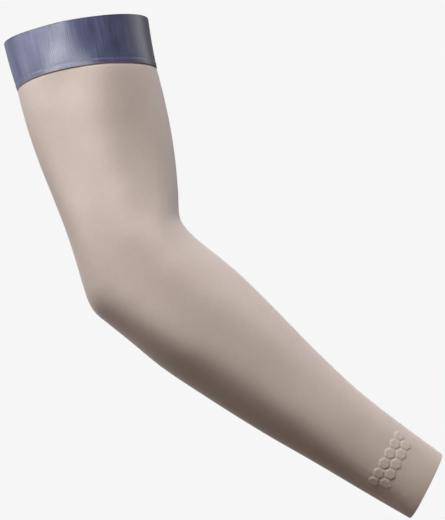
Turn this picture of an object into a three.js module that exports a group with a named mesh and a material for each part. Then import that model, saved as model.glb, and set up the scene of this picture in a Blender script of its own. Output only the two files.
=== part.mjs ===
// Arm warmer, kept in the form it has when worn on a bent arm.
// Millimetres, +Z up. The origin is the centre of the upper opening; the centre
// of the wrist opening lies straight below it on -Z. The elbow bends in the XZ
// plane, point of the elbow towards -X, and the part is the same on both sides
// of that plane.
import * as THREE from 'three';

// ---- named sizes -----------------------------------------------------------
const SLEEVE_WALL = 1.2;      // knit cloth
const BAND_WALL = 1.3;        // woven elastic
const GAP = 0.35;             // clearance between the two cloths
const LAP = 7.0;              // how far the sleeve runs up under the band
const RIM_RISE = 0.45;        // how far the rim runs up at the front and back
const SEAM_RISE = 3.2;        // the same at the band's seam
const SEAM_LEAN = 1.35;       // and how much more of it lies on the elbow side
const RISE_FADE = 70.0;       // the rise is gone this far below the seam
const EDGE_ROUND = 0.45;      // rounding of the cut edges
const AROUND = 40;            // facets round the tube

// ---- sections, from the upper rim down to the wrist ------------------------
// x, z    centre of the section in the bend plane
// turn    slope of the section's line from the elbow side to the inner side, degrees
// width   size along that line
// depth   size across the bend plane
// terms   swell and flattening of the half depth round the section: parts of the
//         depth times cos(k f), k = 1 to 6, f the angle from the inner side
// steps   mesh rings from this section to the next
const COLUMNS = ['at', 'x', 'z', 'turn', 'width', 'depth', 'terms', 'steps'];
const SECTIONS = [
  ['upper rim',        0.0,     0.0,  -27.0,  106.2,  93.0, [ 0.000,  0.000, -0.000,  0.000,  0.000, -0.000], 2],
  ['band middle',     -7.7,   -16.1,  -27.3,  104.3,  92.1, [ 0.002,  0.005, -0.004,  0.002,  0.001, -0.000], 2],
  ['band seam',      -15.0,   -33.0,  -28.0,  102.4,  89.0, [ 0.012,  0.038, -0.025,  0.014,  0.013, -0.003], 2],
  ['upper arm 1',    -24.4,   -55.4,  -25.2,  101.4,  86.0, [-0.016,  0.046, -0.011,  0.027,  0.009, -0.004], 2],
  ['upper arm 2',    -33.6,   -78.5,  -22.5,   98.2,  83.5, [-0.023,  0.063,  0.013,  0.044,  0.001, -0.008], 2],
  ['upper arm 3',    -42.7,  -101.5,  -19.5,   92.6,  83.8, [-0.045,  0.071,  0.014,  0.047,  0.001, -0.011], 2],
  ['upper arm 4',    -52.4,  -124.1,  -15.9,   86.3,  86.6, [-0.037,  0.062,  0.001,  0.025,  0.013, -0.015], 3],
  ['above elbow',    -63.0,  -146.2,  -11.8,   81.6,  89.0, [ 0.082,  0.044, -0.031, -0.016,  0.011, -0.013], 2],
  ['elbow 1',        -66.0,  -155.8,   -5.3,   84.9,  87.4, [ 0.105,  0.025, -0.049, -0.025,  0.004, -0.005], 2],
  ['elbow 2',        -67.6,  -162.4,   -1.2,   87.8,  86.4, [ 0.115,  0.015, -0.060, -0.030, -0.002, -0.002], 1],
  ['elbow point',    -68.0,  -165.6,    0.8,   88.9,  85.9, [ 0.119,  0.008, -0.062, -0.031, -0.004,  0.001], 1],
  ['elbow 3',        -68.0,  -168.8,    2.8,   89.3,  85.5, [ 0.117,  0.001, -0.061, -0.032, -0.005,  0.003], 2],
  ['elbow 4',        -66.7,  -175.5,    7.0,   88.2,  85.9, [ 0.084, -0.010, -0.055, -0.038, -0.001,  0.005], 2],
  ['below elbow',    -64.4,  -185.3,   13.3,   87.3,  86.8, [ 0.032, -0.015, -0.051, -0.044,  0.006,  0.004], 3],
  ['forearm 1',      -56.1,  -220.2,   14.4,   87.3,  83.0, [-0.061, -0.052, -0.023, -0.041,  0.020,  0.003], 3],
  ['forearm 2',      -47.7,  -254.8,   15.8,   80.9,  76.7, [-0.062, -0.055, -0.022, -0.030, -0.007,  0.003], 3],
  ['forearm 3',      -36.4,  -300.7,   18.1,   69.8,  68.3, [-0.064, -0.028, -0.008, -0.034, -0.019, -0.000], 3],
  ['forearm 4',      -23.2,  -345.9,   20.8,   59.3,  63.3, [-0.060,  0.025, -0.012, -0.025, -0.005, -0.004], 3],
  ['forearm 5',      -12.0,  -379.6,   22.9,   55.0,  59.5, [-0.066,  0.082,  0.000, -0.010, -0.002, -0.006], 3],
  ['wrist edge',       0.0,  -413.7,   25.4,   51.2,  54.0, [-0.072,  0.140, -0.008,  0.016,  0.000, -0.002], 0],
].map((row) => Object.fromEntries(COLUMNS.map((name, i) => [name, row[i]])));

// ---- smooth run through the sections ---------------------------------------
// Each section becomes two points (elbow side and inner side) plus depth and
// terms; every value runs on a cubic through its rows, measured along the arm.
const rows = SECTIONS.map((s) => {
  const t = THREE.MathUtils.degToRad(s.turn);
  const dx = Math.cos(t) * s.width / 2, dz = Math.sin(t) * s.width / 2;
  return { v: [s.x - dx, s.z - dz, s.x + dx, s.z + dz, s.depth, ...s.terms], steps: s.steps };
});
rows[0].s = 0;
for (let i = 1; i < rows.length; i++) {
  const a = rows[i - 1].v, b = rows[i].v;
  rows[i].s = rows[i - 1].s
    + (Math.hypot(b[0] - a[0], b[1] - a[1]) + Math.hypot(b[2] - a[2], b[3] - a[3])) / 2;
}
const LENGTH = rows[rows.length - 1].s;
const SEAM = rows[SECTIONS.findIndex((r) => r.at === 'band seam')].s;

function slope(i, c) {
  if (i === 0) return (rows[1].v[c] - rows[0].v[c]) / (rows[1].s - rows[0].s);
  const n = rows.length - 1;
  if (i === n) return (rows[n].v[c] - rows[n - 1].v[c]) / (rows[n].s - rows[n - 1].s);
  const h0 = rows[i].s - rows[i - 1].s, h1 = rows[i + 1].s - rows[i].s;
  const d0 = (rows[i].v[c] - rows[i - 1].v[c]) / h0;
  const d1 = (rows[i + 1].v[c] - rows[i].v[c]) / h1;
  return (d0 * h1 + d1 * h0) / (h0 + h1);
}

function sectionAt(s) {
  let i = rows.findIndex((r, k) => k + 1 < rows.length && s <= rows[k + 1].s);
  if (i < 0) i = rows.length - 2;
  const h = rows[i + 1].s - rows[i].s, u = (s - rows[i].s) / h;
  const u2 = u * u, u3 = u2 * u;
  return rows[i].v.map((a, c) => a * (2 * u3 - 3 * u2 + 1) + slope(i, c) * h * (u3 - 2 * u2 + u)
    + rows[i + 1].v[c] * (3 * u2 - 2 * u3) + slope(i + 1, c) * h * (u3 - u2));
}

// how far a ring at distance s is drawn up at the front and back, and its lean
function rise(s) {
  const fade = THREE.MathUtils.clamp((SEAM + RISE_FADE - s) / RISE_FADE, 0, 1);
  const top = THREE.MathUtils.clamp(s / SEAM, 0, 1);
  return s > SEAM ? [SEAM_RISE * fade, SEAM_LEAN * fade]
    : [THREE.MathUtils.lerp(RIM_RISE, SEAM_RISE, top), SEAM_LEAN * top];
}

// one loop of points round the tube at distance s, set in from the outside
function ring(s, inset) {
  const [up, lean] = rise(s);
  const loop = [];
  for (let k = 0; k < AROUND; k++) {
    const f = 2 * Math.PI * k / AROUND, e = -Math.cos(f);
    const [ox, oz, ix, iz, depth, ...terms] = sectionAt(s - Math.sin(f) ** 2 * (up + lean * e));
    const w = Math.hypot(ix - ox, iz - oz) / 2;
    const ux = (ix - ox) / (2 * w), uz = (iz - oz) / (2 * w);
    const swell = terms.reduce((sum, t, i) => sum + t * Math.cos((i + 1) * f), 1);
    const a = w - inset, y = (depth / 2 - inset) * Math.sin(f) * swell;
    loop.push([(ox + ix) / 2 - ux * a * e, y, (oz + iz) / 2 - uz * a * e]);
  }
  return loop;
}

// ring places from one section to another, by each section's steps
function stations(from, to) {
  const list = [];
  rows.forEach((r, i) => {
    for (let k = 0; k < r.steps; k++) {
      const s = r.s + (rows[i + 1].s - r.s) * k / r.steps;
      if (s > from + 1.5 && s < to - 1.5) list.push(s);
    }
  });
  return [from, ...list, to];
}

// closed wall: a loop of rings, the last joined to the first
function wall(rings) {
  const pos = rings.flat(2), index = [];
  const n = rings.length;
  for (let i = 0; i < n; i++) {
    const p = i * AROUND, q = ((i + 1) % n) * AROUND;
    for (let k = 0; k < AROUND; k++) {
      const l = (k + 1) % AROUND;
      index.push(p + k, q + k, q + l, p + k, q + l, p + l);
    }
  }
  const g = new THREE.BufferGeometry();
  g.setAttribute('position', new THREE.Float32BufferAttribute(pos, 3));
  g.setIndex(index);
  g.computeVertexNormals();
  return g;
}

// ---- sleeve ----------------------------------------------------------------
// outside from the lapped top down to the wrist, inside back up again
const tuck = BAND_WALL + GAP;
const neck = [                 // distance below the seam, inset
  [-LAP, tuck + EDGE_ROUND], [-LAP + EDGE_ROUND, tuck], [0.2, tuck],
  [0.5, tuck * 0.66], [0.75, tuck * 0.3], [1.8, 0],
];
const sleeveRings = [
  ...neck.map(([d, inset]) => ring(SEAM + d, inset)),
  ...stations(SEAM + 1.8, LENGTH - EDGE_ROUND).slice(1).map((s) => ring(s, 0)),
  ring(LENGTH, EDGE_ROUND),
  ring(LENGTH, SLEEVE_WALL - EDGE_ROUND),
  ...stations(SEAM + 1.8, LENGTH - EDGE_ROUND).slice(1).reverse().map((s) => ring(s, SLEEVE_WALL)),
  ...neck.slice(1).reverse().map(([d, inset]) => ring(SEAM + d, inset + SLEEVE_WALL)),
  ring(SEAM - LAP, tuck + SLEEVE_WALL - EDGE_ROUND),
];

// ---- upper band ------------------------------------------------------------
const bandStations = stations(EDGE_ROUND, SEAM - EDGE_ROUND);
const bandRings = [
  ring(0, EDGE_ROUND),
  ...bandStations.map((s) => ring(s, 0)),
  ring(SEAM, EDGE_ROUND),
  ring(SEAM, BAND_WALL - EDGE_ROUND),
  ...bandStations.slice().reverse().map((s) => ring(s, BAND_WALL)),
  ring(0, BAND_WALL - EDGE_ROUND),
];

// ---- nodes -----------------------------------------------------------------
function node(name, rings, color, roughness) {
  const mesh = new THREE.Mesh(wall(rings), new THREE.MeshStandardMaterial({ color, roughness }));
  mesh.name = name;
  return mesh;
}

const group = new THREE.Group();
group.name = 'arm_warmer';
group.add(node('sleeve', sleeveRings, 0xc6b5aa, 0.8));
group.add(node('upper_band', bandRings, 0x666b88, 0.45));

export default group;
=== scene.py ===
import math

import bpy
import numpy as np
from mathutils import Matrix, Vector


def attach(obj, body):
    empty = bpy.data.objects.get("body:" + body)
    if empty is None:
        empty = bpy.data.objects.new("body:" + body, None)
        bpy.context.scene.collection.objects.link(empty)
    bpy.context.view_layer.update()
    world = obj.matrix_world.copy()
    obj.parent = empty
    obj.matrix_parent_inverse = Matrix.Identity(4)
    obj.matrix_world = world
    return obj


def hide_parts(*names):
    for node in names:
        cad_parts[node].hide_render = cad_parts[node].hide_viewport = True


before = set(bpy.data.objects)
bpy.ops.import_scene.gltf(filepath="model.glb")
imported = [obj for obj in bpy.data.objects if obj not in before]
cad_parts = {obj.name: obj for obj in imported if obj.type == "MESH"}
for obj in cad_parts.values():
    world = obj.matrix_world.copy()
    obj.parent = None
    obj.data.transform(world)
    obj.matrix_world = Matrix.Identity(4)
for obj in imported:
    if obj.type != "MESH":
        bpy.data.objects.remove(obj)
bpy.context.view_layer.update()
MM = 0.001

# ---------------------------------------------------------------------------
# Sections of the warmer, the same as in the CAD, in millimetres
# x, z: centre in the bend plane; turn: slope of the section line, degrees;
# width along that line; depth across it; profile terms: how the half depth swells and
# flattens round the section, as parts of the depth times cos(k f), k = 1 to 6
# ---------------------------------------------------------------------------
SECTIONS = [
    # at              x       z      turn   width  depth  profile terms
    ("upper rim",       0.0,     0.0,  -27.0,  106.2,  93.0,  0.000,  0.000, -0.000,  0.000,  0.000, -0.000),
    ("band middle",    -7.7,   -16.1,  -27.3,  104.3,  92.1,  0.002,  0.005, -0.004,  0.002,  0.001, -0.000),
    ("band seam",     -15.0,   -33.0,  -28.0,  102.4,  89.0,  0.012,  0.038, -0.025,  0.014,  0.013, -0.003),
    ("upper arm 1",   -24.4,   -55.4,  -25.2,  101.4,  86.0, -0.016,  0.046, -0.011,  0.027,  0.009, -0.004),
    ("upper arm 2",   -33.6,   -78.5,  -22.5,   98.2,  83.5, -0.023,  0.063,  0.013,  0.044,  0.001, -0.008),
    ("upper arm 3",   -42.7,  -101.5,  -19.5,   92.6,  83.8, -0.045,  0.071,  0.014,  0.047,  0.001, -0.011),
    ("upper arm 4",   -52.4,  -124.1,  -15.9,   86.3,  86.6, -0.037,  0.062,  0.001,  0.025,  0.013, -0.015),
    ("above elbow",   -63.0,  -146.2,  -11.8,   81.6,  89.0,  0.082,  0.044, -0.031, -0.016,  0.011, -0.013),
    ("elbow 1",       -66.0,  -155.8,   -5.3,   84.9,  87.4,  0.105,  0.025, -0.049, -0.025,  0.004, -0.005),
    ("elbow 2",       -67.6,  -162.4,   -1.2,   87.8,  86.4,  0.115,  0.015, -0.060, -0.030, -0.002, -0.002),
    ("elbow point",   -68.0,  -165.6,    0.8,   88.9,  85.9,  0.119,  0.008, -0.062, -0.031, -0.004,  0.001),
    ("elbow 3",       -68.0,  -168.8,    2.8,   89.3,  85.5,  0.117,  0.001, -0.061, -0.032, -0.005,  0.003),
    ("elbow 4",       -66.7,  -175.5,    7.0,   88.2,  85.9,  0.084, -0.010, -0.055, -0.038, -0.001,  0.005),
    ("below elbow",   -64.4,  -185.3,   13.3,   87.3,  86.8,  0.032, -0.015, -0.051, -0.044,  0.006,  0.004),
    ("forearm 1",     -56.1,  -220.2,   14.4,   87.3,  83.0, -0.061, -0.052, -0.023, -0.041,  0.020,  0.003),
    ("forearm 2",     -47.7,  -254.8,   15.8,   80.9,  76.7, -0.062, -0.055, -0.022, -0.030, -0.007,  0.003),
    ("forearm 3",     -36.4,  -300.7,   18.1,   69.8,  68.3, -0.064, -0.028, -0.008, -0.034, -0.019, -0.000),
    ("forearm 4",     -23.2,  -345.9,   20.8,   59.3,  63.3, -0.060,  0.025, -0.012, -0.025, -0.005, -0.004),
    ("forearm 5",     -12.0,  -379.6,   22.9,   55.0,  59.5, -0.066,  0.082,  0.000, -0.010, -0.002, -0.006),
    ("wrist edge",      0.0,  -413.7,   25.4,   51.2,  54.0, -0.072,  0.140, -0.008,  0.016,  0.000, -0.002),
]
SLEEVE_WALL, BAND_WALL, GAP, LAP = 1.2, 1.3, 0.35, 7.0

NAMES = [r[0] for r in SECTIONS]
ROWS = []
for _, x, z, turn, width, depth, *terms in SECTIONS:
    dx = math.cos(math.radians(turn)) * width / 2
    dz = math.sin(math.radians(turn)) * width / 2
    ROWS.append((x - dx, z - dz, x + dx, z + dz, depth, *terms))
ROWS = np.array(ROWS)
STEP = np.diff(ROWS, axis=0)
ALONG = np.r_[0, np.cumsum((np.hypot(STEP[:, 0], STEP[:, 1]) + np.hypot(STEP[:, 2], STEP[:, 3])) / 2)]
H = np.diff(ALONG)[:, None]
RATE = STEP / H
SLOPE = np.vstack([RATE[:1], (RATE[:-1] * H[1:] + RATE[1:] * H[:-1]) / (H[:-1] + H[1:]), RATE[-1:]])
LENGTH = float(ALONG[-1])
SEAM = float(ALONG[NAMES.index("band seam")])


def section_at(s):
    """The section's values at distances s along the arm, by a cubic through the rows."""
    s = np.atleast_1d(np.asarray(s, float))
    i = np.clip(np.searchsorted(ALONG, s, side="left") - 1, 0, len(ALONG) - 2)
    h = ALONG[i + 1] - ALONG[i]
    u = ((s - ALONG[i]) / h)[:, None]
    h = h[:, None]
    return (ROWS[i] * (2 * u**3 - 3 * u**2 + 1) + SLOPE[i] * h * (u**3 - 2 * u**2 + u)
            + ROWS[i + 1] * (3 * u**2 - 2 * u**3) + SLOPE[i + 1] * h * (u**3 - u**2))


# the rim and the seam run higher at the front and back than at the sides, by this much
RISE_AT, RISE, LEAN = [0.0, SEAM, SEAM + 70.0], [0.45, 3.2, 0.0], [0.0, 1.35, 0.0]
# the stretched band is pulled a little askew beside its middle: place along the section line, half width, slope at the rim
SKEW_X, SKEW_HALF, SKEW = -16.5, 33.0, 0.115
SKEW_AT, SKEW_TURN = [0.0, SEAM, SEAM + 30.0], [1.0, -1.0, 0.0]


def rings(s, inset, count):
    """Loops of points at distances s, each set in by inset, in millimetres."""
    s = np.atleast_1d(np.asarray(s, float))
    inset = np.broadcast_to(np.asarray(inset, float), s.shape)[:, None]
    f = 2 * np.pi * np.arange(count)[None] / count
    e = -np.cos(f)
    rise = np.sin(f) ** 2 * (np.interp(s, RISE_AT, RISE)[:, None] + np.interp(s, RISE_AT, LEAN)[:, None] * e)
    v = section_at((s[:, None] - rise).ravel()).reshape(len(s), count, -1)
    swell = sum(v[..., 4 + k] * np.cos(k * f) for k in range(1, ROWS.shape[1] - 4))
    line_x, line_z = v[..., 2] - v[..., 0], v[..., 3] - v[..., 1]
    w = np.hypot(line_x, line_z) / 2
    ux, uz = line_x / (2 * w), line_z / (2 * w)
    a, b = w - inset, v[..., 4] / 2 - inset
    off = a * np.cos(f) - SKEW_X
    skew = SKEW * off * np.cos(np.pi / 2 * np.clip(off / SKEW_HALF, -1, 1)) ** 2 * np.interp(s, SKEW_AT, SKEW_TURN)[:, None]
    y = b * np.sin(f) * (1 + swell) + np.sign(np.sin(f)) * skew
    return np.stack([(v[..., 0] + v[..., 2]) / 2 - ux * a * e, y, (v[..., 1] + v[..., 3]) / 2 - uz * a * e], 2)


def outward(p):
    """Outward unit normals of a grid of rings."""
    n = np.cross(np.roll(p, -1, 1) - np.roll(p, 1, 1), np.gradient(p, axis=0))
    n /= np.linalg.norm(n, axis=2, keepdims=True)
    return n * np.sign(((p - p.mean(1, keepdims=True)) * n).sum())


def smooth(x, lo, hi):
    t = np.clip((x - lo) / (hi - lo), 0, 1)
    return t * t * (3 - 2 * t)


def closed_wall(name, loops, along, girth):
    """A closed wall from a loop of rings (mm), the last joined to the first.
    along: each ring's distance along the arm; girth: the threads' count round it.
    Keeps the cloth's own coordinates (round, along, in or out) on the corners."""
    loops = np.asarray(loops)
    n, m = loops.shape[:2]
    me = bpy.data.meshes.new(name)
    i, k = np.meshgrid(np.arange(n), np.arange(m), indexing="ij")
    j, l = (i + 1) % n, (k + 1) % m
    quads = np.stack([i * m + k, j * m + k, j * m + l, i * m + l], 2).reshape(-1, 4)
    me.from_pydata((loops.reshape(-1, 3) * MM).tolist(), [], quads.tolist())
    along = np.asarray(along, float)
    # cloth coordinates per corner, so that the wrap from the last thread to the first stays whole
    round_ = np.stack([k, k, k + 1, k + 1], 2).reshape(-1) / m * girth
    down = np.stack([along[i], along[j], along[j], along[i]], 2).reshape(-1)
    at = me.attributes.new("cloth", "FLOAT_VECTOR", "CORNER")
    at.data.foreach_set("vector", np.stack([round_, down, np.zeros_like(down)], 1).astype(np.float32).ravel())
    me.shade_smooth()
    me.validate()
    ob = bpy.data.objects.new(name, me)
    bpy.context.scene.collection.objects.link(ob)
    return ob


# ---------------------------------------------------------------------------
# Sleeve
# ---------------------------------------------------------------------------
AROUND = 300
TUCK = BAND_WALL + GAP
NECK = [  # distance below the seam, inset: under the band, then easing out to the sleeve's full girth
    (-LAP, TUCK + 0.6), (-LAP + 0.12, TUCK + 0.2), (-LAP + 0.5, TUCK), (-3.0, TUCK), (0.03, TUCK), (0.10, TUCK * 0.60),
    (0.22, TUCK * 0.38), (0.45, TUCK * 0.26), (0.9, TUCK * 0.19), (1.6, TUCK * 0.14), (2.6, TUCK * 0.09), (4.0, TUCK * 0.05),
    (6.0, TUCK * 0.02), (8.0, 0.0),
]
FINE, PLAIN = LENGTH - 47.0, LENGTH - 19.0  # closer rings between these, for the relief near the wrist
body_s = np.r_[np.arange(SEAM + 10.4, FINE, 2.6), np.arange(FINE, PLAIN, 0.5), np.arange(PLAIN, LENGTH - 1.0, 1.5)]
LIP = [  # rounded cut edge: distance above the wrist edge, inset
    (0.9, 0.0), (0.45, 0.01), (0.2, 0.08), (0.06, 0.24), (0.0, 0.48),
]

out_s = np.r_[[SEAM + d for d, _ in NECK], body_s, [LENGTH - d for d, _ in LIP]]
out_in = np.r_[[i for _, i in NECK], np.zeros(len(body_s)), [i for _, i in LIP]]
outer = rings(out_s, out_in, AROUND)

# relief on the outside, in millimetres along the normal
base = rings(out_s, 0.0, AROUND)
normal = outward(base)
f = 2 * np.pi * np.arange(AROUND) / AROUND
v = section_at(out_s)
radius = (np.hypot(v[:, 2] - v[:, 0], v[:, 3] - v[:, 1]) + v[:, 4]) / 4
arc = (f[None] - 1.5 * np.pi) * radius[:, None]  # millimetres round from the middle of the near side
up = LENGTH - out_s[:, None]  # millimetres above the wrist edge
relief = np.zeros_like(arc)

# a patch of plain raised hexagon plates in two staggered rows near the wrist
HEX_ACROSS, HEX_GAP, HEX_HIGH, HEX_UP = 7.0, 1.5, 0.42, 32.0
HEX_PITCH = HEX_ACROSS + HEX_GAP
for row, count in ((-0.5, 5), (0.5, 6)):
    for k in range(count):
        px = arc - (k - (count - 1) / 2) * HEX_PITCH
        py = up - HEX_UP - row * HEX_PITCH * 0.866
        away = np.maximum(np.abs(py) * 0.866 + np.abs(px) * 0.5, np.abs(px)) - HEX_ACROSS / 2
        relief += HEX_HIGH * (1 - smooth(away, -0.35, 0.35))
outer = outer + normal * relief[..., None]

back_s = np.r_[LENGTH - np.array([0.0, 0.06, 0.2, 0.45, 0.9]), np.arange(LENGTH - 4.0, SEAM + 12.0, -6.0)]
back_in = np.r_[[0.72, 0.96, 1.12, 1.19, 1.2], np.full(len(back_s) - 5, SLEEVE_WALL)]
neck_back = [(8.0, 0.0), (6.0, TUCK * 0.04), (4.0, TUCK * 0.11), (2.6, TUCK * 0.20), (1.6, TUCK * 0.30), (1.0, TUCK * 0.39),
             (0.5, TUCK * 0.6), (0.0, TUCK * 0.9), (-0.8, TUCK), (-3.5, TUCK), (-LAP + 0.5, TUCK), (-LAP + 0.12, TUCK - 0.2),
             (-LAP, TUCK - 0.6)]
back_s = np.r_[back_s, [SEAM + d for d, _ in neck_back]]
back_in = np.r_[back_in, [i + SLEEVE_WALL for _, i in neck_back]]
inner = rings(back_s, back_in, AROUND)

sleeve = closed_wall("knit_sleeve", np.concatenate([outer, inner]), np.r_[out_s, back_s], 300.0)
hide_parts("sleeve")
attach(sleeve, "root")

# ---------------------------------------------------------------------------
# Upper band: rolled rim, plain middle, a narrow welt at the seam
# ---------------------------------------------------------------------------
BAND_AROUND = 320
rim = [  # distance below the rim, inset
    (0.0, 0.62), (0.05, 0.36), (0.18, 0.16), (0.42, 0.04), (0.8, 0.0), (1.4, 0.0), (2.2, 0.0), (3.0, 0.0),
]
plain = np.arange(4.5, SEAM - 6.5, 2.2)
welt = [  # distance above the seam, inset
    (6.0, 0.0), (5.4, 0.01), (5.0, 0.04), (4.7, 0.07), (4.4, 0.05), (4.1, -0.03), (3.8, -0.09), (3.3, -0.12), (2.6, -0.13),
    (2.0, -0.13), (1.3, -0.11), (0.8, -0.08), (0.35, -0.03), (0.13, 0.05), (0.03, 0.22), (0.0, 0.50),
]
band_s = np.r_[[d for d, _ in rim], plain, [SEAM - d for d, _ in welt]]
band_in = np.r_[[i for _, i in rim], np.zeros(len(plain)), [i for _, i in welt]]
in_s = np.r_[[SEAM - 0.0, SEAM - 0.12, SEAM - 0.45], np.arange(SEAM - 3.0, 2.0, -4.0), [0.5, 0.14, 0.0]]
in_in = np.r_[[0.95, 1.2, 1.3], np.full(len(in_s) - 6, BAND_WALL), [1.3, 1.2, 0.9]]
band = closed_wall("elastic_band", np.concatenate([rings(band_s, band_in, BAND_AROUND), rings(in_s, in_in, BAND_AROUND)]),
                   np.r_[band_s, in_s], 230.0)
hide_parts("upper_band")
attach(band, "root")


def thread_row(name, s, pitch, length, thick, lift):
    """Stitches lying on the band's outside: short rounded threads, dipping in at both ends."""
    loop = rings([s, s + 0.5], -lift, 720)
    p, nrm = loop[0], outward(np.stack([loop[0], loop[1]]))[0]
    arc_at = np.r_[0, np.cumsum(np.linalg.norm(np.diff(np.vstack([p, p[:1]]), axis=0), axis=1))]
    total = arc_at[-1]
    stitches = int(round(total / pitch))
    verts, faces = [], []
    sides, cuts = 8, 7
    at = lambda q, a: np.array([np.interp(a % total, arc_at, np.r_[q[:, c], q[:1, c]]) for c in range(3)])
    for n in range(stitches):
        start = len(verts)
        for c in range(cuts):
            t = c / (cuts - 1)
            a = n * total / stitches + t * length
            o, nn = at(p, a), at(nrm, a)
            nn /= np.linalg.norm(nn)
            tan = at(p, a + 0.05) - at(p, a - 0.05)
            tan /= np.linalg.norm(tan)
            side = np.cross(tan, nn)
            r = thick / 2 * (0.45 + 0.55 * math.sin(math.pi * min(max(t, 0.06), 0.94)) ** 0.5)
            o = o + nn * (-thick * 0.55 + thick * 0.6 * math.sin(math.pi * t))
            for k in range(sides):
                g = 2 * math.pi * k / sides
                verts.append(o + r * (math.cos(g) * side + math.sin(g) * nn))
        for c in range(cuts - 1):
            for k in range(sides):
                q = start + c * sides
                faces.append((q + k, q + (k + 1) % sides, q + sides + (k + 1) % sides, q + sides + k))
        faces.append(tuple(start + k for k in reversed(range(sides))))
        faces.append(tuple(start + (cuts - 1) * sides + k for k in range(sides)))
    me = bpy.data.meshes.new(name)
    me.from_pydata((np.array(verts) * MM).tolist(), [], faces)
    me.shade_smooth()
    ob = bpy.data.objects.new(name, me)
    bpy.context.scene.collection.objects.link(ob)
    return ob


stitch = thread_row("seam_stitching", SEAM - 3.2, 2.9, 2.3, 0.30, 0.13)
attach(stitch, "root")


# ---------------------------------------------------------------------------
# Materials
# ---------------------------------------------------------------------------
class Nodes:
    """Short names for building a material's nodes."""

    def __init__(self, name):
        self.mat = bpy.data.materials.new(name)
        self.mat.use_nodes = True
        self.tree = self.mat.node_tree
        self.shader = self.tree.nodes["Principled BSDF"]

    def add(self, kind, **values):
        n = self.tree.nodes.new(kind)
        for k, val in values.items():
            setattr(n, k, val)
        return n

    def link(self, a, b):
        self.tree.links.new(a, b)

    def math(self, op, a, b=None):
        n = self.add("ShaderNodeMath", operation=op)
        for socket, val in zip(n.inputs, (a, b)):
            if val is None:
                continue
            if isinstance(val, (int, float)):
                socket.default_value = val
            else:
                self.link(val, socket)
        return n.outputs[0]

    def noise(self, vector, scale, detail=3.0, rough=0.55):
        n = self.add("ShaderNodeTexNoise")
        n.inputs["Scale"].default_value = scale
        n.inputs["Detail"].default_value = detail
        n.inputs["Roughness"].default_value = rough
        self.link(vector, n.inputs["Vector"])
        return n.outputs["Fac"]

    def ramp(self, fac, stops):
        n = self.add("ShaderNodeValToRGB")
        el = n.color_ramp.elements
        while len(el) < len(stops):
            el.new(0.5)
        for e, (pos, col) in zip(el, stops):
            e.position = pos
            e.color = (*col, 1)
        self.link(fac, n.inputs["Fac"])
        return n.outputs["Color"]

    def span(self, fac, lo, hi):
        n = self.add("ShaderNodeMapRange")
        n.inputs["To Min"].default_value = lo
        n.inputs["To Max"].default_value = hi
        self.link(fac, n.inputs["Value"])
        return n.outputs["Result"]

    def ease(self, value, lo, hi, first, last):
        n = self.add("ShaderNodeMapRange", interpolation_type="SMOOTHSTEP")
        for socket, val in (("From Min", lo), ("From Max", hi), ("To Min", first), ("To Max", last)):
            n.inputs[socket].default_value = val
        self.link(value, n.inputs["Value"])
        return n.outputs["Result"]

    def bump(self, height, strength, distance, under=None):
        n = self.add("ShaderNodeBump")
        n.inputs["Strength"].default_value = strength
        n.inputs["Distance"].default_value = distance
        self.link(height, n.inputs["Height"])
        if under is not None:
            self.link(under, n.inputs["Normal"])
        return n.outputs["Normal"]


def knit_material():
    """Fine smooth stretch knit: narrow columns of V loops, soft sheen, faint shade changes."""
    m = Nodes("knit_taupe")
    sh = m.shader
    cloth = m.add("ShaderNodeAttribute", attribute_name="cloth")
    xyz = m.add("ShaderNodeSeparateXYZ")
    m.link(cloth.outputs["Vector"], xyz.inputs[0])
    place = m.add("ShaderNodeTexCoord").outputs["Object"]
    # columns: one wale per thread count; rows: 0.62 mm, slanted to both sides of each column
    wale = m.math("PINGPONG", xyz.outputs["X"], 0.5)
    lean = m.math("MULTIPLY", wale, 1.1)
    row = m.math("SINE", m.math("MULTIPLY", m.math("SUBTRACT", m.math("DIVIDE", xyz.outputs["Y"], 0.62), lean), 2 * math.pi))
    column = m.math("SINE", m.math("MULTIPLY", wale, math.pi * 2))
    loops = m.math("ADD", m.math("MULTIPLY", row, 0.35), column)
    fuzz = m.noise(place, 900, 2.0)
    tension = m.noise(place, 22, 3.0)
    tone = m.math("ADD", m.math("MULTIPLY", m.noise(place, 55, 4.0), 0.5), m.math("MULTIPLY", m.noise(place, 420, 2.0), 0.5))
    colour = m.ramp(tone, [(0.30, (0.548, 0.451, 0.403)), (0.52, (0.575, 0.475, 0.425)), (0.72, (0.600, 0.499, 0.448))])
    m.link(colour, sh.inputs["Base Color"])
    m.link(m.span(tension, 0.66, 0.80), sh.inputs["Roughness"])
    n = m.bump(loops, 0.10, 0.0002)
    n = m.bump(fuzz, 0.06, 0.0003, n)
    m.link(n, sh.inputs["Normal"])
    sh.inputs["Specular IOR Level"].default_value = 0.35
    sh.inputs["Sheen Weight"].default_value = 0.24
    sh.inputs["Sheen Roughness"].default_value = 0.45
    sh.inputs["Sheen Tint"].default_value = (0.92, 0.90, 0.96, 1)
    return m.mat


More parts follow.
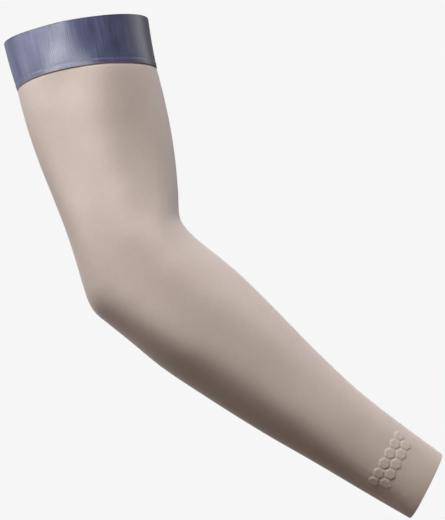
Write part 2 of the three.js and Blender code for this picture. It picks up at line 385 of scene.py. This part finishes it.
def elastic_material():
    """Satin woven elastic: fine upright ribs, uneven upright streaks, soft gloss, slate blue."""
    m = Nodes("elastic_slate")
    sh = m.shader
    cloth = m.add("ShaderNodeAttribute", attribute_name="cloth")
    xyz = m.add("ShaderNodeSeparateXYZ")
    m.link(cloth.outputs["Vector"], xyz.inputs[0])
    place = m.add("ShaderNodeTexCoord").outputs["Object"]
    rib = m.math("SINE", m.math("MULTIPLY", xyz.outputs["X"], 2 * math.pi))
    weft = m.math("SINE", m.math("MULTIPLY", xyz.outputs["Y"], 2 * math.pi / 0.45))
    weave = m.math("ADD", rib, m.math("MULTIPLY", weft, 0.4))
    # streaks: long along the arm, one to three ribs wide
    drawn = m.add("ShaderNodeCombineXYZ")
    m.link(m.math("MULTIPLY", xyz.outputs["X"], 0.62), drawn.inputs["X"])
    m.link(m.math("MULTIPLY", xyz.outputs["Y"], 0.035), drawn.inputs["Y"])
    streak = m.noise(drawn.outputs[0], 1.0, 3.0, 0.6)
    tone = m.math("ADD", m.math("MULTIPLY", m.noise(place, 90, 4.0), 0.3), m.math("MULTIPLY", streak, 0.7))
    tone = m.math("ADD", tone, m.math("MULTIPLY", rib, 0.05))
    colour = m.ramp(tone, [(0.36, (0.026, 0.031, 0.069)), (0.50, (0.042, 0.049, 0.104)), (0.64, (0.061, 0.069, 0.140))])
    # the folded edge at the rim is darker; just above the seam, painted shade darkens the band where the welt folds
    # under; the cut edge at the seam is lighter and browner, its thread's colour mixed with a painted shade tone
    rim_dark_seam_shade = m.math("MULTIPLY", m.ease(xyz.outputs["Y"], 0.5, 1.3, 0.30, 1.0),
                  m.ease(xyz.outputs["Y"], SEAM - 1.5, SEAM - 0.8, 1.0, 0.7))
    dim = m.add("ShaderNodeVectorMath", operation="SCALE")
    m.link(colour, dim.inputs[0])
    m.link(rim_dark_seam_shade, dim.inputs["Scale"])
    # brown added on the cut edge: partly the thread's own colour, partly painted shade tone
    edge = m.add("ShaderNodeVectorMath", operation="MULTIPLY_ADD")
    m.link(m.ease(xyz.outputs["Y"], SEAM - 1.4, SEAM - 0.6, 0.0, 1.0), edge.inputs[0])
    edge.inputs[1].default_value = (0.075, 0.045, 0.030)
    m.link(dim.outputs[0], edge.inputs[2])
    m.link(edge.outputs[0], sh.inputs["Base Color"])
    # the ribs break up the gloss at a flat angle
    flat = m.ease(m.add("ShaderNodeLayerWeight").outputs["Facing"], 0.40, 0.74, 0.0, 0.42)
    m.link(m.math("ADD", m.span(streak, 0.33, 0.46), flat), sh.inputs["Roughness"])
    m.link(m.bump(weave, 0.12, 0.0002), sh.inputs["Normal"])
    sh.inputs["IOR"].default_value = 1.5
    sh.inputs["Specular IOR Level"].default_value = 1.0
    sh.inputs["Specular Tint"].default_value = (0.94, 0.95, 1.0, 1)
    sh.inputs["Sheen Weight"].default_value = 0.12
    sh.inputs["Sheen Roughness"].default_value = 0.4
    sh.inputs["Sheen Tint"].default_value = (0.85, 0.87, 1.0, 1)
    return m.mat


def thread_material():
    """Twisted sewing thread, matched to the band."""
    m = Nodes("thread_slate")
    sh = m.shader
    place = m.add("ShaderNodeTexCoord").outputs["Object"]
    colour = m.ramp(m.noise(place, 1500, 3.0), [(0.3, (0.120, 0.126, 0.205)), (0.7, (0.170, 0.178, 0.270))])
    m.link(colour, sh.inputs["Base Color"])
    m.link(m.span(m.noise(place, 2500, 2.0), 0.4, 0.6), sh.inputs["Roughness"])
    m.link(m.bump(m.noise(place, 3500, 2.0), 0.2, 0.0002), sh.inputs["Normal"])
    sh.inputs["Sheen Weight"].default_value = 0.15
    return m.mat


sleeve.data.materials.append(knit_material())
band.data.materials.append(elastic_material())
stitch.data.materials.append(thread_material())

# ---------------------------------------------------------------------------
# Camera: the photograph's view, a little from below and rolled
# ---------------------------------------------------------------------------
AIM = Vector((-16.82, 0.0, -196.49)) * MM
RIGHT = Vector((0.79359, -0.01304, -0.60831))
UP = Vector((0.60514, -0.08716, 0.79133))
LOOK = Vector((0.06334, 0.99611, 0.06128))
FAR = 1.75
cam_data = bpy.data.cameras.new("camera")
cam_data.lens = 168.27
cam_data.sensor_width = 36.0
cam_data.clip_start, cam_data.clip_end = 0.05, 50
cam = bpy.data.objects.new("camera", cam_data)
bpy.context.scene.collection.objects.link(cam)
turn = Matrix((RIGHT, UP, -LOOK)).transposed()
cam.matrix_world = Matrix.Translation(AIM - LOOK * FAR) @ turn.to_4x4()
bpy.context.scene.camera = cam


def lamp(name, right, up, near, size, power, colour=(1, 1, 1), spread=180, aim=AIM):
    """A softbox at so many metres right of, above and nearer than the object's middle, aimed at it or at another point."""
    data = bpy.data.lights.new(name, "AREA")
    data.shape = "RECTANGLE"
    data.size, data.size_y = size
    data.energy = power
    data.color = colour
    data.spread = math.radians(spread)
    ob = bpy.data.objects.new(name, data)
    ob.location = AIM + RIGHT * right + UP * up - LOOK * near
    ob.rotation_mode = "QUATERNION"
    ob.rotation_quaternion = (aim - ob.location).to_track_quat("-Z", "Y")
    bpy.context.scene.collection.objects.link(ob)
    return ob


def group(name, *pieces):
    """A collection of the pieces that a lamp is kept to."""
    kept = bpy.data.collections.new(name)
    for piece in pieces:
        kept.objects.link(piece)
    return kept


lamp("key_left", -1.210, 0.260, 0.847, (0.5, 0.5), 4.0)
lamp("left_high", -1.110, 0.964, 0.297, (0.6, 0.6), 11.9, (0.98, 1.0, 1.0))
lamp("top", -0.375, 1.299, 0.650, (0.6, 0.6), 24.9, (0.98, 1.005, 1.0))
matte = group("matte", sleeve)
lamp("soft_right", 2.040, 0.280, -0.960, (2.4, 1.2), 29.0, (0.92, 0.98, 1.065)).light_linking.receiver_collection = matte
# a small soft fill from below on the wrist
lamp("wrist_fill", 0.017, -0.376, 0.680, (0.06, 0.06), 0.0008, (0.94, 1.0, 1.0), 6,
     AIM + RIGHT * 0.126 - UP * 0.166 - LOOK * 0.02).light_linking.receiver_collection = matte
# softboxes flagged off from the sleeve, for the satin band's upright highlight
satin = group("satin", band, stitch)
lamp("band_front", -0.755, -0.157, 1.284, (0.5, 0.5), 17.2).light_linking.receiver_collection = satin
lamp("band_left", -1.490, 0.000, 0.050, (0.8, 0.8), 4.8).light_linking.receiver_collection = satin
lamp("band_right", 1.640, 1.000, -1.190, (2.4, 1.2), 17.0).light_linking.receiver_collection = satin
# from behind, for the far side only
lamp("back_high", -0.30, 0.80, -1.40, (0.7, 0.7), 14.0)
lamp("back_low", -0.55, -0.50, -1.30, (0.7, 0.7), 5.0)

# ---------------------------------------------------------------------------
# World and floor
# ---------------------------------------------------------------------------
world = bpy.data.worlds.new("studio")
bpy.context.scene.world = world
world.use_nodes = True
wt = world.node_tree
wt.nodes.clear()
path = wt.nodes.new("ShaderNodeLightPath")
seen = wt.nodes.new("ShaderNodeBackground")
seen.inputs["Color"].default_value = (0.921, 0.921, 0.921, 1)
seen.inputs["Strength"].default_value = 1.0
lit = wt.nodes.new("ShaderNodeBackground")
lit.inputs["Color"].default_value = (1.08, 0.82, 0.69, 1)
lit.inputs["Strength"].default_value = 0.104
mix = wt.nodes.new("ShaderNodeMixShader")
out = wt.nodes.new("ShaderNodeOutputWorld")
wt.links.new(path.outputs["Is Camera Ray"], mix.inputs["Fac"])
wt.links.new(lit.outputs[0], mix.inputs[1])
wt.links.new(seen.outputs[0], mix.inputs[2])
wt.links.new(mix.outputs[0], out.inputs["Surface"])

floor_mesh = bpy.data.meshes.new("floor")
FLOOR_Z, FLOOR_R = -3.5, 20.0
rim_points = [(AIM.x + FLOOR_R * math.cos(2 * math.pi * k / 96), FLOOR_R * math.sin(2 * math.pi * k / 96), FLOOR_Z) for k in range(96)]
floor_mesh.from_pydata(rim_points, [], [tuple(range(96))])
floor = bpy.data.objects.new("floor", floor_mesh)
bpy.context.scene.collection.objects.link(floor)
fm = Nodes("floor_pale")
fm.link(fm.ramp(fm.noise(fm.add("ShaderNodeTexCoord").outputs["Object"], 8, 3.0), [(0.3, (0.003, 0.003, 0.003)), (0.7, (0.004, 0.004, 0.004))]),
        fm.shader.inputs["Base Color"])
fm.shader.inputs["Roughness"].default_value = 1.0
fm.shader.inputs["Specular IOR Level"].default_value = 0.0
fm.shader.inputs["Emission Color"].default_value = (1, 1, 1, 1)
fm.shader.inputs["Emission Strength"].default_value = 0.919
floor_mesh.materials.append(fm.mat)
# the floor shows, but throws no light back on the object
floor.visible_diffuse = False
floor.visible_glossy = False

view = bpy.context.scene.view_settings
view.view_transform = "Standard"
view.look = "None"
view.exposure, view.gamma = 0.0, 1.0
